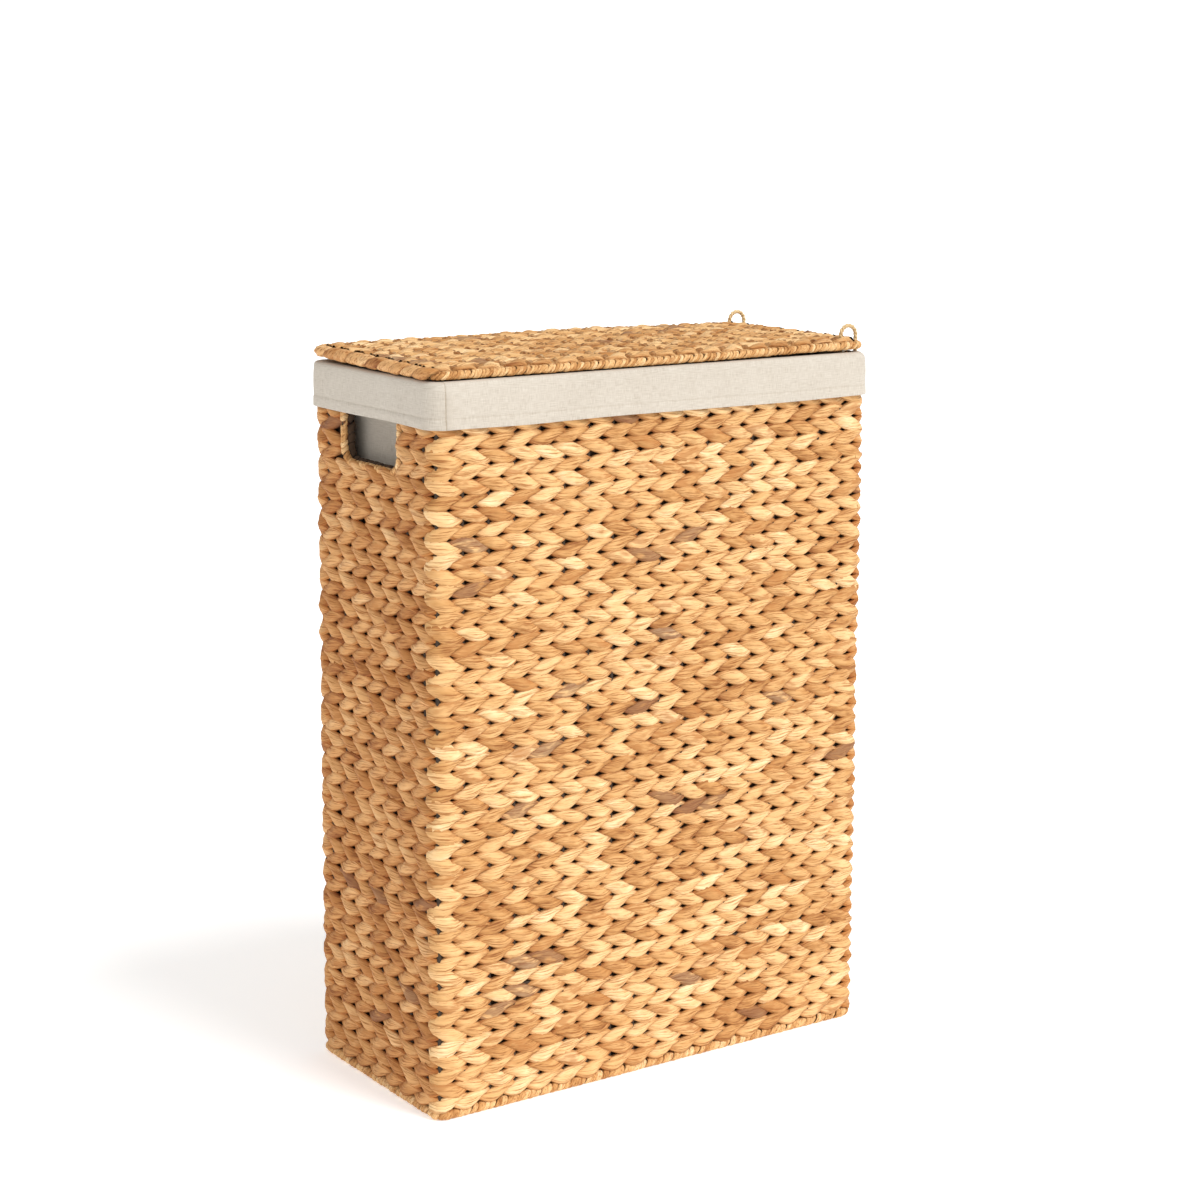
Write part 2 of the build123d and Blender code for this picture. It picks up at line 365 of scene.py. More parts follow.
def sun(name, strength, width, azimuth, height):
    """A wide soft light from a direction, azimuth counted from the front towards the right."""
    data = bpy.data.lights.new(name, "SUN")
    data.energy = strength
    data.angle = math.radians(width)
    lamp = bpy.data.objects.new(name, data)
    bpy.context.scene.collection.objects.link(lamp)
    a, e = math.radians(azimuth), math.radians(height)
    towards = Vector((math.sin(a) * math.cos(e), -math.cos(a) * math.cos(e), math.sin(e)))
    lamp.rotation_mode = "QUATERNION"
    lamp.rotation_quaternion = towards.to_track_quat("Z", "Y")
    return lamp


sun("key_light", 2.55, 28, 25, 50)
sun("fill_light", 0.5, 60, -60, 30)
bpy.context.scene.view_settings.view_transform = "Standard"

# ------------------------------------------------------------------ twined walls
# Each wall is rows of two flat water-hyacinth strands twisted round upright stakes, 11.65 mm a row.
# The twist turns the other way in every second row, which gives the herringbone of pointed strands.

low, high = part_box("weave_front")
WALL = 12 * MM                       # thickness of the wall
HALF_X = high[0] - WALL / 2          # middle of the wall
HALF_Y = -low[1] - WALL / 2
CORNER = 8 * MM
ROW = 11.65 * MM
COLUMNS = 51                         # stakes round the basket
ROUND = 4 * (HALF_X + HALF_Y) - 8 * CORNER + 2 * math.pi * CORNER
PITCH = ROUND / COLUMNS
FIRST_CROWN = -207 * MM              # the strand that wraps the front left corner
RING_LOW, RING_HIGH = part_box("hinge_ring_back")
RING_Y = (RING_LOW[1] + RING_HIGH[1]) / 2
RING_ROOM = 3.1 * MM                 # half of the gap that the strands leave for a hinge ring


def rounded_loop(name, half_x, half_y, corner, z, steps=14):
    """Closed curve round the basket, from the middle of the front side towards +X."""
    points = [(0.0, -half_y, z)]
    for cx, cy, start in (
        (half_x - corner, corner - half_y, -90),
        (half_x - corner, half_y - corner, 0),
        (corner - half_x, half_y - corner, 90),
        (corner - half_x, corner - half_y, 180),
    ):
        for i in range(steps + 1):
            a = math.radians(start + 90 * i / steps)
            points.append((cx + corner * math.cos(a), cy + corner * math.sin(a), z))
    return line_path(name, points)


def plain_strand(name, stations, around, reach):
    """One length of strand as a bare tube: x runs -reach..reach along it, (y, z) is the unit circle."""
    verts = []
    for a in stations:
        for j in range(around):
            b = 2 * math.pi * j / around
            verts.append((a * reach, math.cos(b), math.sin(b)))
    faces = []
    for i in range(len(stations) - 1):
        for j in range(around):
            k = (j + 1) % around
            faces.append((i * around + j, i * around + k, (i + 1) * around + k, (i + 1) * around + j))
    faces.append(tuple(reversed(range(around))))
    faces.append(tuple((len(stations) - 1) * around + j for j in range(around)))
    mesh = bpy.data.meshes.new(name)
    mesh.from_pydata(verts, [], faces)
    mesh.polygons.foreach_set("use_smooth", [True] * len(mesh.polygons))
    return helper(name, mesh)


def twine_tree():
    """Rows of crossing strands round a path. Each strand rises over its stake and dives between stakes."""
    g = GeometryLoom("twined_rows", [
        ("Strand", "NodeSocketObject", None),
        ("Path", "NodeSocketObject", None),
        ("Material", "NodeSocketMaterial", None),
        ("First Column", "NodeSocketInt", 0),
        ("Columns", "NodeSocketInt", 18),
        ("Rows", "NodeSocketInt", 50),
        ("First Crown", "NodeSocketFloat", 0.0),
        ("Pitch", "NodeSocketFloat", 0.0238),
        ("Row Height", "NodeSocketFloat", 0.01165),
        ("First Row Z", "NodeSocketFloat", 0.0177),
        ("Seed", "NodeSocketInt", 1),
        ("Opening Centre", "NodeSocketFloat", 99.0),
        ("Opening Half", "NodeSocketFloat", 0.0),
        ("Opening Low", "NodeSocketFloat", 0.0),
        ("Opening High", "NodeSocketFloat", 0.0),
        ("Row Axis", "NodeSocketVector", (0.0, 0.0, 1.0)),
        ("Start", "NodeSocketFloat", -99.0),
        ("Finish", "NodeSocketFloat", 99.0),
        ("Ring Travel", "NodeSocketFloat", 99.0),
        ("Ring Spacing", "NodeSocketFloat", 0.0),
        ("Ring Level", "NodeSocketFloat", 99.0),
        ("Ring Rows Across", "NodeSocketFloat", 0.0),
        ("Outermost", "NodeSocketFloat", 0.0062),
        ("Flatness", "NodeSocketFloat", 1.0),
        ("Fullness", "NodeSocketFloat", 1.0),
        ("Side Middle", "NodeSocketFloat", 99.0),
        ("Corner Spacing", "NodeSocketFloat", 0.0),
    ])
    pitch, row_height = g.given("Pitch"), g.given("Row Height")
    columns, seed = g.given("Columns"), g.given("Seed")
    # one point for each crossing of a strand and a stake
    points = g.add("GeometryNodePoints", None, {"Count": g.given("Rows") * columns})
    index = g.add("GeometryNodeInputIndex")
    row = ((index + 0.01) / columns).floor()
    column = index - row * columns + g.given("First Column")
    level = g.given("First Row Z") + row * row_height
    crown = g.given("First Crown") + column * pitch
    lean = g.noise(g.vector(column * 0.13, row * 0.09, 0.0), 1.0, 1.0, {"noise_dimensions": "2D"})
    crown = crown + (lean - 0.5) * 0.0075 + g.random(-0.0011, 0.0011, seed + 1)
    level = level + g.random(-0.00035, 0.00035, seed + 2)
    points = g.keep(points, "crown", crown)
    points = g.keep(points, "level", level)
    points = g.keep(points, "twist", 1 - (row * 0.5).maths("FRACT", row * 0.5) * 4)
    points = g.keep(points, "tone", g.random(0.0, 1.0, seed + 3))
    points = g.keep(points, "fate", g.random(0.0, 1.0, seed + 4))
    points = g.keep(points, "girth", g.random(0.90, 1.08, seed + 5))
    points = g.keep(points, "swell", g.random(0.84, 1.06, seed + 6))
    points = g.keep(points, "bend", g.random(-1.0, 1.0, seed + 7))
    inside = (crown - g.given("Opening Centre")).abs() < g.given("Opening Half")
    inside = inside * (level > g.given("Opening Low")) * (level < g.given("Opening High"))
    points = g.add("GeometryNodeDeleteGeometry", {"domain": "POINT"}, {
        "Geometry": points, "Selection": inside,
    })
    strand = g.add("GeometryNodeObjectInfo", None, {"Object": g.given("Strand")}, "Geometry")
    strands = g.add("GeometryNodeInstanceOnPoints", None, {"Points": points, "Instance": strand})
    strands = g.add("GeometryNodeRealizeInstances", None, {"Geometry": strands})
    along, cosine, sine = g.parts(g.add("GeometryNodeInputPosition"))
    strands = g.keep(strands, "grain", g.vector(along, cosine, sine), "FLOAT_VECTOR")
    # the strand's own line: out over the stake at its crown, in between the stakes at its ends
    crown, level, twist = g.named("crown"), g.named("level"), g.named("twist")
    girth, swell, bend = g.named("girth"), g.named("swell"), g.named("bend")
    turn = along * math.pi
    full = (1 + turn.cos()) * 0.5
    out = turn.cos() * 0.0030 * swell
    rise = twist * turn.sin() * 0.0024 + bend * 0.0006 * full
    wide = (0.0036 + 0.0031 * full ** 0.8) * girth * g.given("Fullness")
    thick = (0.0026 + 0.0004 * full) * swell
    # round a corner the strand is pulled tight and stays outside
    loop = g.given("Side Middle") * 4
    bent = (crown + along * pitch).wrap(loop * -0.5, loop * 0.5).abs() - g.given("Side Middle")
    bent = 1 - (bent.abs() - g.given("Corner Spacing")).abs().soft(0.008, 0.015)
    bent = bent * (1 - along.abs().soft(0.5, 0.72))
    out = out + (0.0018 - out) * bent * 0.8
    rise = rise * (1 - 0.1 * bent)
    wide = wide * (1 + 0.14 * bent)
    tilt = twist * turn * 0.42 + bend * 0.10
    y, z = cosine * wide, sine * thick
    out = (out + z * tilt.cos() + y * tilt.sin()) * g.given("Flatness")
    rise = rise + y * tilt.cos() - z * tilt.sin()
    out = out.maths("MINIMUM", out, g.given("Outermost"))
    travel = (crown + along * pitch).clamp(g.given("Start"), g.given("Finish"))
    # beside a hand opening the strand turns back round the edge stake
    side = (travel - g.given("Opening Centre")).maths("SIGN", travel - g.given("Opening Centre"))
    near = (travel - g.given("Opening Centre")).abs() < g.given("Opening Half")
    near = near * (level > g.given("Opening Low")) * (level < g.given("Opening High"))
    edge = g.given("Opening Centre") + side * g.given("Opening Half")
    travel = travel + (edge - travel) * near
    # strands part round the hinge rings, across the rows on a wall and along them on the lid
    across = g.given("Ring Rows Across")
    height = level + rise
    off = travel - g.given("Ring Travel")
    spacing = g.given("Ring Spacing")
    off = (off.abs() - spacing) * (1 - across) + (height.abs() - spacing) * across
    beside = (off.abs() < RING_ROOM) * (level > g.given("Ring Level")) * (1 - across)
    beside = beside + (off.abs() < RING_ROOM) * (travel > g.given("Ring Travel")) * across
    push = (off.maths("SIGN", off) * RING_ROOM - off) * beside
    travel_side = (travel - g.given("Ring Travel")).maths("SIGN", travel - g.given("Ring Travel"))
    travel = travel + push * travel_side * (1 - across)
    height = height + push * height.maths("SIGN", height) * across
    path = g.add("GeometryNodeObjectInfo", None, {"Object": g.given("Path")}, "Geometry")
    travel = travel.wrap(0.0, g.add("GeometryNodeCurveLength", None, {"Curve": path}))
    wave = g.noise(g.vector(travel * 9.0, level * 16.0, 0.0), 1.0, 2.0, {"noise_dimensions": "2D"})
    height = height + (wave - 0.5) * 0.0028 * (1 - across)
    sample, tangent = g.along(path, travel)
    outward = g.arrow("NORMALIZE", g.arrow("CROSS_PRODUCT", tangent, g.given("Row Axis")))
    stack = g.arrow("SCALE", g.given("Row Axis"), scale=height)
    place = g.arrow("ADD", g.arrow("ADD", sample, g.arrow("SCALE", outward, scale=out)), stack)
    place = g.arrow("MAXIMUM", place, (-9.0, -9.0, 0.0004))
    # depth out from mid wall, which the strand material turns into painted shade
    strands = g.keep(strands, "depth", out / 0.006)
    strands = g.add("GeometryNodeSetPosition", None, {"Geometry": strands, "Position": place})
    strands = g.forget(strands, "crown", "level", "twist", "girth", "swell", "bend")
    strands = g.add("GeometryNodeSetMaterial", None, {"Geometry": strands, "Material": g.given("Material")})
    return g.finish(strands)


def strand_material(name, gloss=0.55, shade_offset=0.0, depth_shade_strength=0.92):
    """Dried water hyacinth: golden tan, each strand its own shade, fine lengthways fibres, and painted shade
    where a strand lies deep between the stakes or round a wire.
    """
    material, s, shader = new_material(name)
    tone, fate, depth = (s.attribute(word, "Fac") for word in ("tone", "fate", "depth"))
    along, across, over = s.parts(s.attribute("grain", "Vector"))
    place = s.vector(along * 0.8 + tone * 40, across * 3.4, over * 3.4 + fate * 30)
    fine = s.noise(place, 1.5, 4.0, Roughness=0.68)
    broad = s.noise(s.vector(along * 1.6 + fate * 70, across * 1.2 + tone * 20, over * 1.2), 1.0, 2.0)
    tan = s.add("ShaderNodeValToRGB", {"stops": [
        (0.00, (0.36, 0.145, 0.038)), (0.16, (0.57, 0.285, 0.095)), (0.42, (0.75, 0.44, 0.180)),
        (0.75, (0.86, 0.56, 0.265)), (1.00, (0.97, 0.73, 0.42)),
    ]}, {"Fac": (tone * 0.72 + broad * 0.75 - 0.24).clamp()}, "Color")
    streak = fine.soft(0.46, 0.66) * 0.9
    tan = s.mix(streak, tan, (0.46, 0.27, 0.14), "MULTIPLY")
    # darker towards each strand's edges and ends; the offset argument adds to this over the whole strand:
    # positive, it is painted shade (the end walls), negative, it weakens the edge darkening
    rim = across.abs().soft(0.62, 1.0) * 0.45 + along.abs().soft(0.42, 0.85) * 0.5 + shade_offset
    tan = s.mix(rim.clamp(), tan, (0.66, 0.44, 0.27), "MULTIPLY")
    rust = (fate > 0.87) * broad.soft(0.40, 0.62)
    tan = s.mix(rust * 0.75, tan, (0.44, 0.175, 0.045))
    plum = (fate < 0.028) * broad.soft(0.25, 0.50)
    tan = s.mix(plum * (0.45 + fine * 0.6).clamp(), tan, (0.20, 0.075, 0.032))
    # painted shade: the strand is darkened where it lies deep in the wall, between the stakes and round the
    # wire, by its depth attribute; the last argument sets how strong
    painted_depth_shade = 1 - depth.soft(-0.45, 0.52)
    tan = s.mix(painted_depth_shade * depth_shade_strength, tan, (0.16, 0.07, 0.03), "MULTIPLY")
    s.plug(shader, "Base Color", tan)
    s.plug(shader, "Roughness", gloss + 0.2 * fine)
    shader.inputs["Specular IOR Level"].default_value = 0.28
    s.plug(shader, "Normal", s.bump(0.7, 0.0006, fine * 1.1 + broad * 0.9))
    return material


wall_path = rounded_loop("wall_path", HALF_X, HALF_Y, CORNER, 0.0)
stations = [-1, -0.84, -0.66, -0.5, -0.3, -0.1, 0.1, 0.3, 0.5, 0.66, 0.84, 1]
strand = plain_strand("strand", stations, 8, 0.97)
hyacinth = strand_material("water_hyacinth")
# the end walls use a darker, more saturated copy of the strand colour: painted shade, matching the shaded end
# of the basket
hyacinth_end_walls_painted_shade = strand_material("water_hyacinth_end_walls_painted_shade", 0.6, 0.55)
twined = twine_tree()
HAND_LOW, HAND_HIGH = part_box("handle_binding_left")
HAND_Y = (HAND_LOW[1] + HAND_HIGH[1]) / 2
HAND_HALF = (HAND_HIGH[1] - HAND_LOW[1]) / 2 - 4.5 * MM
SIDE_MID = HALF_X - CORNER + math.pi * CORNER / 2 + HALF_Y - CORNER    # travel from mid front to mid right
RING_LEVEL = 570 * MM                # the strands part for the hinge rings above this height
NOWHERE = 99.0                       # a distance that no strand reaches
CORNER_SPACING = HALF_Y - CORNER + math.pi * CORNER / 4
wall_sides = {
    "front": (0, 18, None), "right": (18, 8, SIDE_MID + HAND_Y),
    "back": (26, 17, None), "left": (43, 8, 2 * SIDE_MID + SIDE_MID - HAND_Y),
}
for side, (first, count, opening) in wall_sides.items():
    grow(twined, f"twined_wall_{side}", {
        "Strand": strand, "Path": wall_path, "Material": hyacinth if opening is None else hyacinth_end_walls_painted_shade,
        "First Column": first, "Columns": count, "Rows": 50,
        "First Crown": FIRST_CROWN, "Pitch": PITCH, "Row Height": ROW, "First Row Z": 14.4 * MM,
        "Seed": 11 + first,
        "Opening Centre": NOWHERE if opening is None else opening,
        "Opening Half": HAND_HALF - 2.5 * MM,
        "Opening Low": HAND_LOW[2] + 3 * MM, "Opening High": HAND_HIGH[2] + 1 * MM,
        "Ring Travel": SIDE_MID if side == "right" else NOWHERE, "Ring Spacing": RING_Y,
        "Ring Level": RING_LEVEL, "Side Middle": SIDE_MID, "Corner Spacing": CORNER_SPACING,
    }, "basket", [f"weave_{side}"])


def lining_strands(name, boxes, body, material):
    """The passes of strand behind the stakes, as one ribbed layer a row to a rib."""
    bm = bmesh.new()
    for x0, x1, y0, y1, z0, z1, thin in boxes:
        ribs = max(1, round((z1 - z0) / ROW)) * 4
        cells = []
        for i in range(ribs + 1):
            z = z0 + (z1 - z0) * i / ribs
            nip = 0.0008 * abs(math.cos(math.pi * (z - z0) / ROW))
            nx, ny = (nip, 0) if thin == "x" else (0, nip)
            cells.append([bm.verts.new(p) for p in (
                (x0 + nx, y0 + ny, z), (x1 - nx, y0 + ny, z), (x1 - nx, y1 - ny, z), (x0 + nx, y1 - ny, z),
            )])
        for a, b in zip(cells, cells[1:]):
            for i in range(4):
                k = (i + 1) % 4
                bm.faces.new((a[i], a[k], b[k], b[i]))
        bm.faces.new(tuple(reversed(cells[0])))
        bm.faces.new(cells[-1])
    mesh = bpy.data.meshes.new(name)
    bm.to_mesh(mesh)
    bm.free()
    mesh.materials.append(material)
    return piece(name, mesh, body)


# A near-black strand colour for the layer behind the stakes and the inner faces of the hand openings: painted
# shadow, so the gaps in the weave and the openings read dark.
painted_shadow_material, s, shader = new_material("water_hyacinth_painted_shadow")
place = s.add("ShaderNodeTexCoord", None, None, "Object")
patch = s.noise(place, 90.0, 3.0)
s.plug(shader, "Base Color", s.mix(patch, (0.030, 0.015, 0.007, 1), (0.085, 0.045, 0.02)))
shader.inputs["Roughness"].default_value = 0.9
IN, OUT = WALL / 2 - 0.2 * MM, 2.4 * MM          # the layer's two faces, measured inwards from mid wall
HX, HY = HALF_X, HALF_Y
Z0, Z1 = low[2] + 1 * MM, high[2] - 1 * MM
HL, HH = HAND_LOW[2] + 3 * MM, HAND_HIGH[2] - 3 * MM
H0, H1 = HAND_LOW[1] + 3 * MM, HAND_HIGH[1] - 3 * MM
END = HY - IN - 0.3 * MM
layers = [
    (-HX + OUT, HX - OUT, -HY + OUT, -HY + IN, Z0, Z1, "y"),
    (-HX + OUT, HX - OUT, HY - IN, HY - OUT, Z0, Z1, "y"),
]
for a, b in ((-HX + OUT, -HX + IN), (HX - IN, HX - OUT)):
    ring_top = Z1 if a < 0 else 575 * MM
    layers += [
        (a, b, -END, END, Z0, HL, "x"), (a, b, -END, H0, HL, ring_top, "x"),
        (a, b, H1, END, HL, ring_top, "x"), (a, b, H0, H1, HH, ring_top if a > 0 else Z1, "x"),
    ]
layers = [layer for layer in layers if layer[5] > layer[4]]
lining_strands("twined_wall_inner_layer", layers, "basket", painted_shadow_material)


# ------------------------------------------------------------------ woven lid
# The same strands twined over cross wires in a flat plate, rows along the length, worked on both faces.
# The strands part a little at the hinge end, where the two rings come through.

LID_LOW, LID_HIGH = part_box("lid_ring")
LID_Z = (LID_LOW[2] + LID_HIGH[2]) / 2
PLATE_LOW, PLATE_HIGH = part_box("lid_weave")
LID_ROWS = 15
LID_ROW = (PLATE_HIGH[1] - PLATE_LOW[1] + 3 * MM) / LID_ROWS
LEAD = 0.01                          # the lid's path starts and ends this far past mid wall

# the lid's strands get weaker painted depth shade and a slightly negative offset
lid_strand = strand_material("water_hyacinth_lid", 0.6, -0.08, 0.4)
short_strand = plain_strand("short_strand", stations, 8, 0.60)
lid_path = line_path("lid_path", [(-HALF_X - LEAD, 0, LID_Z), (HALF_X + LEAD, 0, LID_Z)], closed=False)
for face, axis, seed in (("top", 1.0, 71), ("under", -1.0, 83)):
    grow(twined, f"lid_weave_{face}", {
        "Strand": short_strand, "Path": lid_path, "Material": lid_strand,
        "First Column": 0, "Columns": 18, "Rows": LID_ROWS,
        "First Crown": HALF_X + LEAD - 8.5 * PITCH, "Pitch": PITCH, "Row Height": LID_ROW,
        "First Row Z": PLATE_LOW[1] - 1.5 * MM + LID_ROW / 2, "Seed": seed,
        "Row Axis": (0.0, axis, 0.0), "Start": LEAD + 3 * MM, "Finish": 2 * HALF_X + LEAD - 3 * MM,
        "Ring Travel": 2 * HALF_X + LEAD - 15.5 * MM, "Ring Spacing": RING_Y, "Ring Rows Across": 1.0,
        "Outermost": 5.6 * MM, "Flatness": 0.95, "Fullness": 1.32,
    }, "lid", ["lid_weave", "lid_rods"])

# ------------------------------------------------------------------ woven base
# The floor of the basket is twined like the lid, one plate of strands over the base rods.

BASE_LOW, BASE_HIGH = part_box("weave_base")
BASE_ROWS = 15
BASE_ROW = (BASE_HIGH[1] - BASE_LOW[1]) / BASE_ROWS
BASE_Z = 4.9 * MM
base_line = line_path("base_line", [(-HALF_X, 0, BASE_Z), (HALF_X, 0, BASE_Z)], closed=False)
for face, axis, seed in (("inside", 1.0, 91), ("under", -1.0, 97)):
    grow(twined, f"base_weave_{face}", {
        "Strand": short_strand, "Path": base_line, "Material": lid_strand,
        "First Column": 0, "Columns": 17, "Rows": BASE_ROWS,
        "First Crown": HALF_X - 8 * PITCH, "Pitch": PITCH, "Row Height": BASE_ROW,
        "First Row Z": BASE_LOW[1] + BASE_ROW / 2, "Seed": seed,
        "Row Axis": (0.0, axis, 0.0), "Start": 6 * MM, "Finish": 2 * HALF_X - 6 * MM,
        "Ring Rows Across": 1.0, "Outermost": 4.6 * MM, "Flatness": 0.95, "Fullness": 1.1,
    }, "basket", ["weave_base"])

# ------------------------------------------------------------------ wound edges
# The base wire, the rim wire, the lid's wire and the loops round the hand openings are all wound with
# flat strand, each turn lapping the one before.


def wound_turn(name, around=14):
    """One turn of strand round a wire as a closed hoop: x is -1..1 along the wire, (y, z) goes round it."""
    section = [(-1.0, 0.78), (-0.55, 0.97), (0.0, 1.02), (0.55, 0.97), (1.0, 0.78), (0.0, 0.5)]
    verts = []
    for j in range(around):
        b = 2 * math.pi * j / around
        verts += [(a, r * math.cos(b), r * math.sin(b)) for a, r in section]
    n = len(section)
    faces = []
    for j in range(around):
        k = (j + 1) % around
        for i in range(n):
            m = (i + 1) % n
            faces.append((j * n + i, j * n + m, k * n + m, k * n + i))
    mesh = bpy.data.meshes.new(name)
    mesh.from_pydata(verts, [], faces)
    bm = bmesh.new()
    bm.from_mesh(mesh)
    bmesh.ops.recalc_face_normals(bm, faces=bm.faces)
    bm.to_mesh(mesh)
    bm.free()
    mesh.polygons.foreach_set("use_smooth", [True] * len(mesh.polygons))
    return helper(name, mesh)


def wound_tree():
    """Turns of strand side by side along a wire."""
    g = GeometryLoom("wound_edge", [
        ("Turn", "NodeSocketObject", None),
        ("Path", "NodeSocketObject", None),
        ("Material", "NodeSocketMaterial", None),
        ("Turns", "NodeSocketInt", 200),
        ("Start", "NodeSocketFloat", 0.0),
        ("Spacing", "NodeSocketFloat", 0.005),
        ("Lap", "NodeSocketFloat", 1.15),
        ("Radius", "NodeSocketFloat", 0.004),
        ("Slant", "NodeSocketFloat", 0.001),
        ("Across", "NodeSocketVector", (0.0, 0.0, 1.0)),
        ("Offset", "NodeSocketVector", (0.0, 0.0, 0.0)),
        ("Seed", "NodeSocketInt", 1),
    ])
    seed, spacing = g.given("Seed"), g.given("Spacing")
    points = g.add("GeometryNodePoints", None, {"Count": g.given("Turns")})
    index = g.add("GeometryNodeInputIndex")
    centre = g.given("Start") + (index + 0.5) * spacing + spacing * g.random(-0.16, 0.16, seed)
    points = g.keep(points, "centre", centre)
    points = g.keep(points, "girth", g.random(0.92, 1.06, seed + 1))
    points = g.keep(points, "spread", g.random(0.88, 1.12, seed + 2))
    points = g.keep(points, "tone", g.random(0.0, 1.0, seed + 3))
    points = g.keep(points, "fate", g.random(0.03, 1.0, seed + 4))
    points = g.keep(points, "skew", g.random(0.5, 1.5, seed + 5))
    turn = g.add("GeometryNodeObjectInfo", None, {"Object": g.given("Turn")}, "Geometry")
    turns = g.add("GeometryNodeInstanceOnPoints", None, {"Points": points, "Instance": turn})
    turns = g.add("GeometryNodeRealizeInstances", None, {"Geometry": turns})
    along, cosine, sine = g.parts(g.add("GeometryNodeInputPosition"))
    size = (cosine * cosine + sine * sine) ** 0.5
    grain = g.vector(cosine * 1.4 + g.named("tone") * 7, along * 0.8, sine * 0.3)
    turns = g.keep(turns, "grain", grain, "FLOAT_VECTOR")
    # how far in towards the wire each point of a turn lies, which the strand material turns into painted
    # shade
    turns = g.keep(turns, "depth", (size - 0.72) * 4.0)
    radius = g.given("Radius") * g.named("girth")
    travel = g.named("centre") + along * spacing * 0.5 * g.given("Lap") * g.named("spread")
    travel = travel + sine / size * g.given("Slant") * g.named("skew")
    path = g.add("GeometryNodeObjectInfo", None, {"Object": g.given("Path")}, "Geometry")
    travel = travel.wrap(0.0, g.add("GeometryNodeCurveLength", None, {"Curve": path}))
    sample, tangent = g.along(path, travel)
    outward = g.arrow("NORMALIZE", g.arrow("CROSS_PRODUCT", tangent, g.given("Across")))
    place = g.arrow("ADD", sample, g.arrow("SCALE", outward, scale=cosine * radius))
    place = g.arrow("ADD", place, g.arrow("SCALE", g.given("Across"), scale=sine * radius))
    place = g.arrow("MAXIMUM", g.arrow("ADD", place, g.given("Offset")), (-9.0, -9.0, 0.0003))
    turns = g.add("GeometryNodeSetPosition", None, {"Geometry": turns, "Position": place})
    turns = g.forget(turns, "centre", "girth", "spread", "skew")
    turns = g.add("GeometryNodeSetMaterial", None, {"Geometry": turns, "Material": g.given("Material")})
    return g.finish(turns)


turn = wound_turn("turn")
wound = wound_tree()
wrap_strand = strand_material("wrap_strand", 0.6, -0.4)


def wind(name, path, spacing, radius, slant, seed, body, replaces, start=0.0, length=None, **more):
    """Winds strand along a path, from start for a length, or all the way round it."""
    length = length or sum(s.calc_length() for s in path.data.splines)
    turns = round(length / spacing)
    settings = {
        "Turn": turn, "Path": path, "Material": wrap_strand, "Turns": turns, "Start": start,
        "Spacing": length / turns, "Radius": radius, "Slant": slant, "Seed": seed,
    }
    settings.update({k.replace("_", " ").title(): v for k, v in more.items()})
    return grow(wound, name, settings, body, replaces)


SIDES = ("front", "back", "left", "right")
base_path = rounded_loop("base_path", HALF_X, HALF_Y, CORNER, 4.1 * MM)
wind("base_edge_winding", base_path, 5.6 * MM, 4.2 * MM, 1.6 * MM, 5, "basket",
     [f"base_binding_{side}" for side in SIDES])

RIM_Z = (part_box("frame_rim_ring")[0][2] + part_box("frame_rim_ring")[1][2]) / 2
rim_path = rounded_loop("rim_path", HALF_X, HALF_Y, CORNER, RIM_Z)
ring_a, ring_b = SIDE_MID - RING_Y, SIDE_MID + RING_Y
wind("rim_edge_winding_between_rings", rim_path, 7.4 * MM, 5.6 * MM, 0.0, 15, "basket", ["rim_binding_right"],
     start=ring_a + 4.2 * MM, length=ring_b - ring_a - 8.4 * MM, lap=1.02)
wind("rim_edge_winding", rim_path, 7.6 * MM, 5.6 * MM, 0.0, 16, "basket",
     [f"rim_binding_{side}" for side in SIDES[:3]],
     start=ring_b + 4.2 * MM, length=ROUND - (ring_b - ring_a) - 8.4 * MM, lap=1.02)

lid_edge = rounded_loop("lid_edge", HALF_X, HALF_Y, CORNER, LID_Z)
STRAIGHT_X, STRAIGHT_Y = HALF_X - CORNER, HALF_Y - CORNER
left_start = 3 * SIDE_MID - STRAIGHT_Y - 4 * MM
wind("lid_edge_winding_hinge_end", lid_edge, 6.6 * MM, 4.5 * MM, 1.5 * MM, 21, "lid", ["lid_binding_right"],
     start=ring_a + 4.4 * MM, length=ring_b - ring_a - 8.8 * MM, lap=1.02)
wind("lid_edge_winding_back", lid_edge, 3.5 * MM, 4.1 * MM, 1.4 * MM, 22, "lid", ["lid_binding_back"],
     start=ring_b + 4.2 * MM, length=left_start - ring_b - 4.2 * MM)
wind("lid_edge_winding_left", lid_edge, 17.5 * MM, 5.3 * MM, 5.5 * MM, 23, "lid", ["lid_binding_left"],
     start=left_start, length=2 * STRAIGHT_Y + 8 * MM, lap=1.3,
     offset=(-2.5 * MM, 0.0, -0.4 * MM), material=lid_strand)
wind("lid_edge_winding_front", lid_edge, 3.4 * MM, 3.5 * MM, 2.0 * MM, 24, "lid",
     ["lid_binding_front", "lid_ring"],
     start=left_start + 2 * STRAIGHT_Y + 8 * MM, offset=(0.0, -0.4 * MM, -1.1 * MM),
     length=ROUND + ring_a - 4.2 * MM - left_start - 2 * STRAIGHT_Y - 8 * MM)

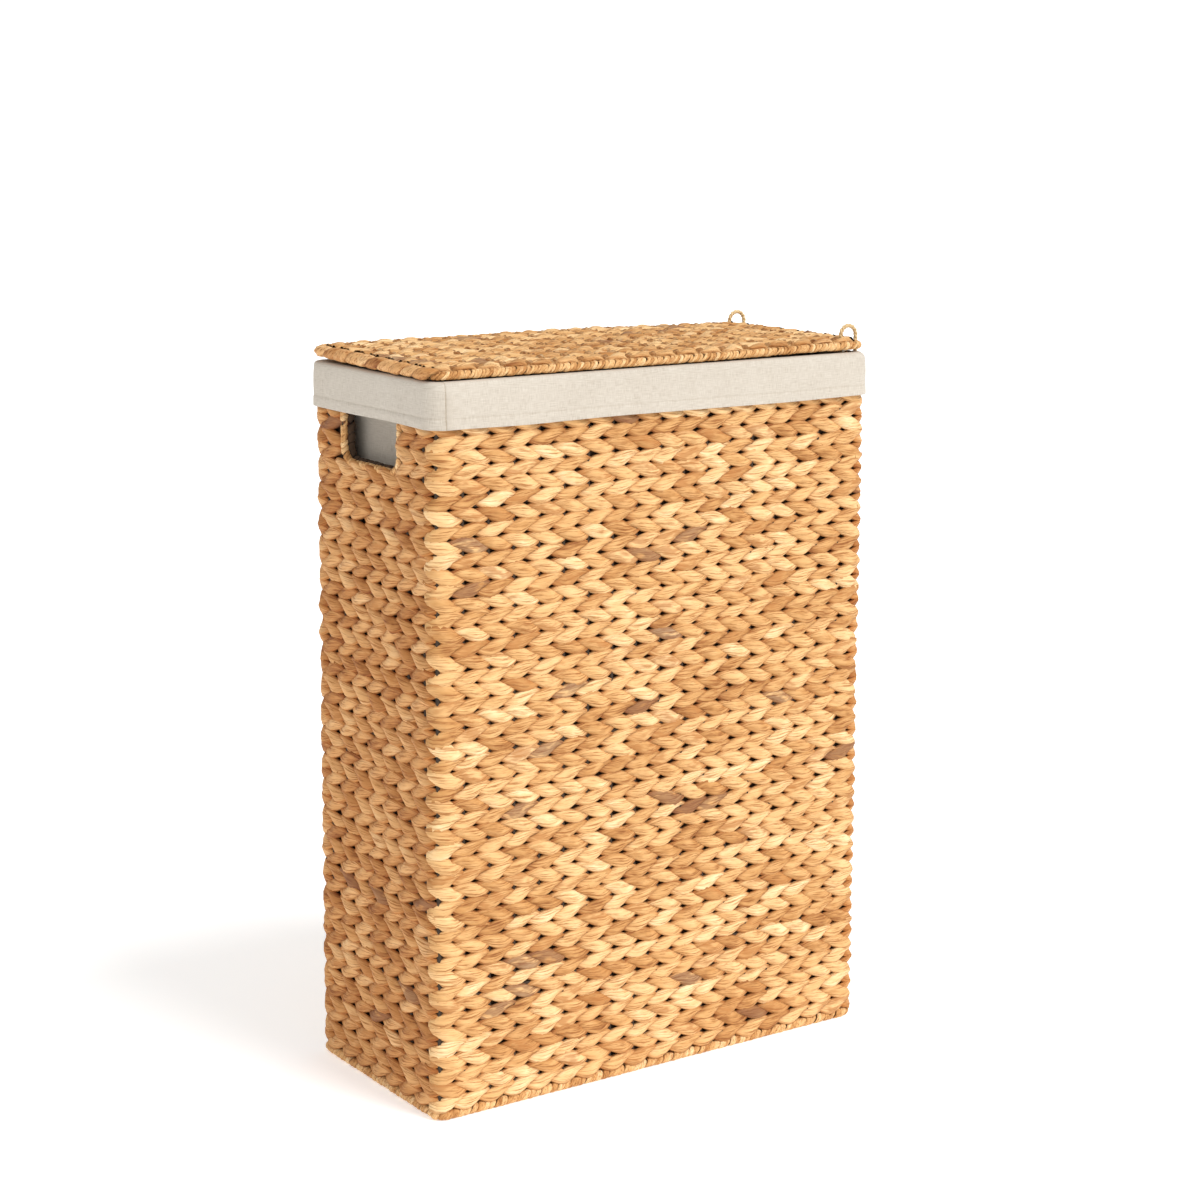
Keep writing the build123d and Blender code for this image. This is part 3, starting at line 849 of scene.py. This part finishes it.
HAND_CORNER = 14.5 * MM
for side, x in (("left", -HALF_X), ("right", HALF_X)):
    low_z, high_z = HAND_LOW[2] + 4.5 * MM + HAND_CORNER, HAND_HIGH[2] - 4.5 * MM - HAND_CORNER
    back_y, front_y = HAND_Y + HAND_HALF - HAND_CORNER, HAND_Y - HAND_HALF + HAND_CORNER
    points = []
    for cy, cz, start in (
        (back_y, low_z, -90), (back_y, high_z, 0), (front_y, high_z, 90), (front_y, low_z, 180),
    ):
        for i in range(11):
            a = math.radians(start + 9 * i)
            points.append((x, cy + HAND_CORNER * math.cos(a), cz + HAND_CORNER * math.sin(a)))
    path = line_path(f"hand_path_{side}", points)
    wind(f"hand_opening_winding_{side}", path, 5.2 * MM, 3.3 * MM, 2.2 * MM, 31, "basket",
         [f"handle_binding_{side}"], across=(1.0, 0.0, 0.0))
    inward = 1 if side == "left" else -1
    # the inner winding of each hand opening is near black, painted shadow on the opening's inner face
    wind(f"hand_opening_inner_winding_{side}", path, 8.0 * MM, 4.2 * MM, 1.6 * MM, 33, "basket", [],
         across=(1.0, 0.0, 0.0), offset=(5.6 * MM * inward, 0.0, 0.0), material=painted_shadow_material)

# ------------------------------------------------------------------ hinge rings
# Two rings of two-ply twisted cord hold the lid wire to the rim wire at the right end. Each is long
# enough for the lid to swing right over and hang down outside.


def ring_tree():
    """Two plies twisted along a closed path."""
    g = GeometryLoom("two_ply_ring", [
        ("Path", "NodeSocketObject", None),
        ("Material", "NodeSocketMaterial", None),
        ("Ply Radius", "NodeSocketFloat", 0.0011),
        ("Lay Radius", "NodeSocketFloat", 0.0008),
        ("Twists", "NodeSocketInt", 12),
    ])
    path = g.add("GeometryNodeObjectInfo", None, {"Object": g.given("Path")}, "Geometry")
    line = g.add("GeometryNodeResampleCurve", None, {"Curve": path, "Count": 150})
    factor = g.add("GeometryNodeSplineParameter", None, None, "Factor")
    tangent = g.add("GeometryNodeInputTangent")
    flat = (0.0, 1.0, 0.0)
    outward = g.arrow("NORMALIZE", g.arrow("CROSS_PRODUCT", tangent, flat))
    circle = g.add("GeometryNodeCurvePrimitiveCircle", {"mode": "RADIUS"}, {
        "Resolution": 8, "Radius": g.given("Ply Radius"),
    })
    join = g.tree.nodes.new("GeometryNodeJoinGeometry")
    for phase in (0.0, math.pi):
        angle = factor * g.given("Twists") * 2 * math.pi + phase
        shift = g.arrow("ADD", g.arrow("SCALE", outward, scale=angle.cos() * g.given("Lay Radius")),
                        g.arrow("SCALE", flat, scale=angle.sin() * g.given("Lay Radius")))
        ply = g.add("GeometryNodeSetPosition", None, {"Geometry": line, "Offset": shift})
        ply = g.keep(ply, "along", factor)
        ply = g.add("GeometryNodeCurveToMesh", None, {"Curve": ply, "Profile Curve": circle})
        g.tree.links.new(ply.socket, join.inputs[0])
    cord = Thread(g, join.outputs[0])
    cord = g.add("GeometryNodeRealizeInstances", None, {"Geometry": cord})
    cord = g.add("GeometryNodeSetShadeSmooth", None, {"Geometry": cord})
    cord = g.add("GeometryNodeSetMaterial", None, {"Geometry": cord, "Material": g.given("Material")})
    return g.finish(cord)


cord_material, s, shader = new_material("twisted_fibre_cord")
place = s.add("ShaderNodeTexCoord", None, None, "Object")
fibre = s.noise(place, 1400.0, 3.0)
shade = s.noise(place, 160.0, 2.0)
s.plug(shader, "Base Color", s.add("ShaderNodeValToRGB", {"stops": [
    (0.25, (0.42, 0.27, 0.12)), (0.55, (0.68, 0.49, 0.25)), (0.8, (0.80, 0.63, 0.37)),
]}, {"Fac": shade * 0.6 + fibre * 0.4}, "Color"))
s.plug(shader, "Roughness", 0.65 + 0.2 * fibre)
s.plug(shader, "Normal", s.bump(0.5, 0.0003, fibre))
twist = ring_tree()
RING_X = (RING_LOW[0] + RING_HIGH[0]) / 2 - 2.5 * MM        # drawn in and up by the lid
CORD_R = (RING_HIGH[1] - RING_LOW[1]) / 2
RING_R = (RING_HIGH[0] - RING_LOW[0]) / 2 - CORD_R
for name, y in (("front", -RING_Y), ("back", RING_Y)):
    points = []
    for z, first in (
        (RING_HIGH[2] - CORD_R - RING_R + 3 * MM, 0), (RING_LOW[2] + CORD_R + RING_R + 2 * MM, 180),
    ):
        for turned in range(first, first + 181, 10):
            a = math.radians(turned)
            points.append((RING_X + RING_R * math.cos(a), y, z + RING_R * math.sin(a)))
    path = line_path(f"ring_path_{name}", points)
    grow(twist, f"hinge_ring_cord_{name}", {"Path": path, "Material": cord_material}, "hinge_rings",
         [f"hinge_ring_{name}"])

# ------------------------------------------------------------------ liner
# One bag of ecru cotton-linen, sewn at the corners, hung inside the walls. Its top turns over the wound
# rim as a plain cuff with a stitched hem, and has a buttonhole slot over each hinge ring.

FLOOR_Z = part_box("liner_floor")[0][2]
BAG_CORNER = 8 * MM
HANG_X, HANG_Y = 199 * MM - BAG_CORNER, 79 * MM - BAG_CORNER     # where the hanging bag's corners turn
BAG_TOP = 548                        # mm: above this the bag leans out to the rim
FOLD = 6.9 * MM                      # radius of the turn over the rim
STITCH_Z = 0.5706                    # the hem's stitching


def liner_ring(out, corner_x, corner_y, corner, z):
    """Points round the basket at a distance outside mid wall, with columns at the slots' edges."""
    straight_x = [-1, -0.93, -0.86] + [i / 14 for i in range(-11, 12)] + [0.86, 0.93, 1]
    slot = (RING_Y - RING_ROOM) / STRAIGHT_Y, (RING_Y + RING_ROOM) / STRAIGHT_Y
    straight_y = sorted({-1, 1, *slot, -slot[0], -slot[1], *(i / 8 for i in range(-7, 8))})
    points = []
    r = corner + out
    for axis, sign, values in (
        ("x", 1, straight_x), ("y", 1, straight_y), ("x", -1, straight_x), ("y", -1, straight_y),
    ):
        for v in values:
            if axis == "x":
                points.append((sign * v * corner_x, -sign * (corner_y + r), z))
            else:
                points.append((sign * (corner_x + r), sign * v * corner_y, z))
        start = {("x", 1): -90, ("y", 1): 0, ("x", -1): 90, ("y", -1): 180}[axis, sign]
        cx = corner_x if start in (-90, 0) else -corner_x
        cy = corner_y if start in (0, 90) else -corner_y
        for i in range(1, 8):
            a = math.radians(start + 90 * i / 8)
            points.append((cx + r * math.cos(a), cy + r * math.sin(a), z))
    return points


stations = []          # (out, corner centre x, corner centre y, corner radius, z, kind)
for inset in (66, 50, 30, 12, 3):
    stations.append((-inset * MM, HANG_X, HANG_Y, BAG_CORNER, FLOOR_Z + 1.2 * MM, "floor"))
for i in range(27):
    z = FLOOR_Z + 3 * MM + (BAG_TOP - 15) * MM * i / 26
    stations.append((-0.6 * MM, HANG_X, HANG_Y, BAG_CORNER, z, "bag"))
for i in range(1, 4):
    t = i / 3
    lean_x, lean_y = HANG_X + (STRAIGHT_X - HANG_X) * t, HANG_Y + (STRAIGHT_Y - HANG_Y) * t
    stations.append((-0.6 * MM - 6.3 * MM * t, lean_x, lean_y, BAG_CORNER, (BAG_TOP + 33 * t) * MM, "lean"))
stations.append((-FOLD, STRAIGHT_X, STRAIGHT_Y, CORNER, 587 * MM, "slot"))
for i in range(0, 9):
    a = math.radians(180 - 22.5 * i)
    stations.append((FOLD * math.cos(a), STRAIGHT_X, STRAIGHT_Y, CORNER, RIM_Z + FOLD * math.sin(a), "slot"))
for z in (589, 585, 581, 577.2):
    stations.append((FOLD + 0.1 * MM, STRAIGHT_X, STRAIGHT_Y, CORNER, z * MM, "slot"))
for z in (574, 571.6, 570.6, 569.6, 567, 564, 562.4, 561.9):
    stations.append((FOLD + 0.1 * MM, STRAIGHT_X, STRAIGHT_Y, CORNER, z * MM, "hem" if z < 571 else "cuff"))


def wave(x, y, z, size, seed):
    return noise.noise(Vector((x / size + seed, y / size, z / size)))


bm = bmesh.new()
grid = []
length_along = 0.0
cloth_layer = bm.verts.layers.float_vector.new("cloth")
seam_layer = bm.verts.layers.float.new("seam")
previous = None
for out, cx, cy, corner, z, kind in stations:
    base = liner_ring(out, cx, cy, corner, z)
    length_along += 0 if previous is None else math.dist(base[40], previous[40])
    previous = base
    ring, around = [], 0.0
    for i, (x, y, zz) in enumerate(base):
        around += 0 if i == 0 else math.dist(base[i], base[i - 1])
        ox, oy = x - max(-cx, min(cx, x)), y - max(-cy, min(cy, y))
        norm = math.hypot(ox, oy) or 1.0
        ox, oy = ox / norm, oy / norm
        seam = 0.0
        if kind in ("bag", "lean") and out < 0:
            depth = math.sin(math.pi * min(1, (zz - 0.012) / 0.55)) if kind == "bag" else 0.0
            # pressed in round the hand openings, and in soft upright folds elsewhere
            hole = math.exp(-(((zz - 0.553) / 0.034) ** 2 + ((y - HAND_Y) / 0.05) ** 2)) * (abs(x) > HANG_X)
            folds = max(-0.6, wave(x, y, zz * 0.25, 0.055, 3))
            push = -0.012 * hole - depth * (0.004 + 0.006 * folds + 0.004 * wave(x, y, zz, 0.16, 8))
            x, y = x + ox * push, y + oy * push
        if kind == "slot" and out > 0 and zz > RIM_Z and x < 0.19:
            # away from the hinge end the cloth is pulled over a squarer edge
            a = math.atan2(zz - RIM_Z, out)
            grow_out, zz = FOLD * math.cos(a) ** 0.45 - out, RIM_Z + FOLD * math.sin(a) ** 0.45
            x, y = x + ox * grow_out, y + oy * grow_out
        if kind in ("cuff", "hem", "slot") and zz < RIM_Z:
            if out > 0:
                low_part = (RIM_Z - zz) / 0.03
                puff = 0.0007 * (0.5 + wave(x, y, zz, 0.045, 1)) * low_part
                puff += 0.0004 * wave(x, y, zz, 0.012, 2)
                if kind == "hem":
                    puff += 0.00035
                if abs(zz - STITCH_Z) < 0.0004:
                    puff -= 0.0005
                near_seam = abs(x + 0.2085) if y < 0 else 1.0
                if near_seam < 0.004:
                    seam = 1 - near_seam / 0.004
                    puff += 0.0006 * seam
                elif near_seam < 0.02:
                    puff += 0.0006 * math.sin(zz * 900) * (1 - near_seam / 0.02)
                x, y = x + ox * max(puff, -0.0002), y + oy * max(puff, -0.0002)
                zz += 0.0011 * wave(x, y, 0, 0.09, 6) * low_part
        vert = bm.verts.new((x, y, zz))
        vert[cloth_layer] = (around, length_along, 0.0)
        stitched = abs(z - STITCH_Z) < 0.0004 and kind != "bag" and out > 0
        vert[seam_layer] = max(seam, 1.0 if stitched else 0.0)
        ring.append(vert)
    grid.append(ring)
count = len(grid[0])
bm.faces.new(list(reversed(grid[0])))
for (lower, upper), station in zip(zip(grid, grid[1:]), stations[1:]):
    for i in range(count):
        k = (i + 1) % count
        middle = (lower[i].co + lower[k].co + upper[i].co + upper[k].co) / 4
        slotted = (
            station[5] == "slot" and middle.x > 0.2 and abs(abs(middle.y) - RING_Y) < RING_ROOM
            and abs(lower[i].co.y - lower[k].co.y) < 0.0075
        )
        if slotted:
            continue
        bm.faces.new((lower[i], lower[k], upper[k], upper[i]))
loose = [v for v in bm.verts if not v.link_faces]
bmesh.ops.delete(bm, geom=loose, context="VERTS")
bmesh.ops.recalc_face_normals(bm, faces=bm.faces)
liner_mesh = bpy.data.meshes.new("liner")
bm.to_mesh(liner_mesh)
bm.free()
liner_mesh.polygons.foreach_set("use_smooth", [True] * len(liner_mesh.polygons))

linen, s, shader = new_material("cotton_linen")
seam = s.attribute("seam", "Fac")
u, v, w = s.parts(s.attribute("cloth", "Vector"))
place = s.add("ShaderNodeTexCoord", None, None, "Object")
weft = s.noise(s.vector(u * 110, v * 1900, 0.0), 1.0, 3.0)
warp = s.noise(s.vector(u * 1900, v * 150, 4.0), 1.0, 3.0)
cloud = s.noise(place, 14.0, 3.0)
thread = weft * 0.5 + warp * 0.5
px, py, pz = s.parts(place)
beside = (px + 0.2092).abs() + (py > 0) * 9 + (pz < 0.56) * 9
seam = seam * 0.6 + (1 - beside.soft(0.0002, 0.0007)) * 1.4
pucker = (pz * 1350).sin() * (1 - beside.soft(0.001, 0.009)) * 1.2 - (1 - beside.soft(0.0003, 0.0014)) * 2.5
ecru = s.add("ShaderNodeValToRGB", {"stops": [
    (0.28, (0.34, 0.285, 0.22)), (0.46, (0.505, 0.447, 0.372)), (0.62, (0.60, 0.545, 0.468)),
]}, {"Fac": thread * 0.85 + cloud * 0.15}, "Color")
ecru = s.mix((seam * 0.4).clamp(), ecru, (0.62, 0.56, 0.48), "MULTIPLY")
s.plug(shader, "Base Color", ecru)
s.plug(shader, "Roughness", 0.85 + 0.1 * thread)
shader.inputs["Sheen Weight"].default_value = 0.15
s.plug(shader, "Normal", s.bump(0.35, 0.0004, thread + pucker))
liner_mesh.materials.append(linen)
liner = piece("liner_bag_with_cuff", liner_mesh, "basket", [
    "liner_floor", *(f"liner_panel_{side}" for side in SIDES), *(f"liner_cuff_{side}" for side in SIDES),
])
thick = liner.modifiers.new("cloth_thickness", "SOLIDIFY")
thick.thickness = 0.9 * MM
thick.offset = 0.0
smooth = liner.modifiers.new("cloth_rounding", "SUBSURF")
smooth.levels = 1
smooth.render_levels = 1

# ------------------------------------------------------------------ steel wire
# The frame, the stakes and the cross rods are dark powder-coated wire, seen only in the gaps.

coated, s, shader = new_material("coated_wire")
place = s.add("ShaderNodeTexCoord", None, None, "Object")
speck = s.noise(place, 700.0, 2.0)
s.plug(shader, "Base Color", s.mix(speck, (0.035, 0.024, 0.016, 1), (0.075, 0.055, 0.04)))
s.plug(shader, "Roughness", 0.7 + 0.2 * speck)
shader.inputs["Specular IOR Level"].default_value = 0.15
s.plug(shader, "Normal", s.bump(0.15, 0.0002, speck))
for name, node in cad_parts.items():
    if name.startswith(("frame_", "handle_frame_", "stakes_", "base_rods")):
        node.data.materials.clear()
        node.data.materials.append(coated)

for spent in helpers:
    bpy.data.objects.remove(spent)
